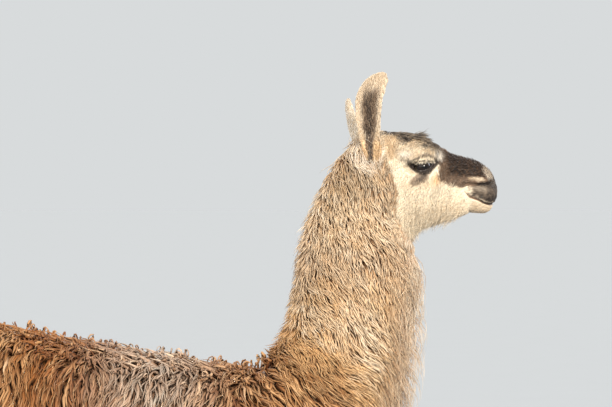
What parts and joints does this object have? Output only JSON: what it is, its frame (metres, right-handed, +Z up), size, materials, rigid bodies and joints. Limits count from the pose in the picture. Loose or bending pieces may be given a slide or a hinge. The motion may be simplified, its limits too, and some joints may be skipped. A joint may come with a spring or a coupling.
{
  "type": "llama",
  "caption": "Adult llama as a still, life-size model: standing alert with the head high and the ears up, shaggy wool on trunk and neck, short hair on the face and lower legs.",
  "frame": {"origin": "on the floor under the middle of the animal's overall length and width", "axes": "+X the way the animal faces, +Y its left side, +Z up"},
  "size_m": [1.4066, 0.46, 1.7319],
  "materials": {
    "short_hair": "short cream hair lying flat, dark brown over the bridge of the nose and on the crown, bare grey skin at nostrils and lips",
    "neck_wool": "fine wavy wool in thin locks, tan to beige, paler towards the throat",
    "trunk_wool": "coarse twisted locks, reddish brown with darker gaps and greyish sun-bleached tips",
    "leg_wool": "medium wool, tan above and cream below",
    "eye": "wet dark brown, clear and glossy, with a horizontal pupil",
    "nail": "dark horn, smooth and slightly worn"
  },
  "bodies": {
    "root": {"nail_front_right_1": "nail", "nail_front_right_2": "nail", "leg_front_right_upper": "leg_wool", "leg_front_right_lower": "short_hair", "foot_front_right": "short_hair", "nail_front_left_1": "nail", "nail_front_left_2": "nail", "leg_front_left_upper": "leg_wool", "leg_front_left_lower": "short_hair", "foot_front_left": "short_hair", "nail_hind_right_1": "nail", "nail_hind_right_2": "nail", "leg_hind_right_upper": "leg_wool", "leg_hind_right_lower": "short_hair", "foot_hind_right": "short_hair", "nail_hind_left_1": "nail", "nail_hind_left_2": "nail", "leg_hind_left_upper": "leg_wool", "leg_hind_left_lower": "short_hair", "foot_hind_left": "short_hair", "trunk": "trunk_wool", "tail": "trunk_wool", "neck": "neck_wool", "ear_right": "short_hair", "eye_right": "eye", "ear_left": "short_hair", "eye_left": "eye", "head": "short_hair"}
  },
  "joints": []
}
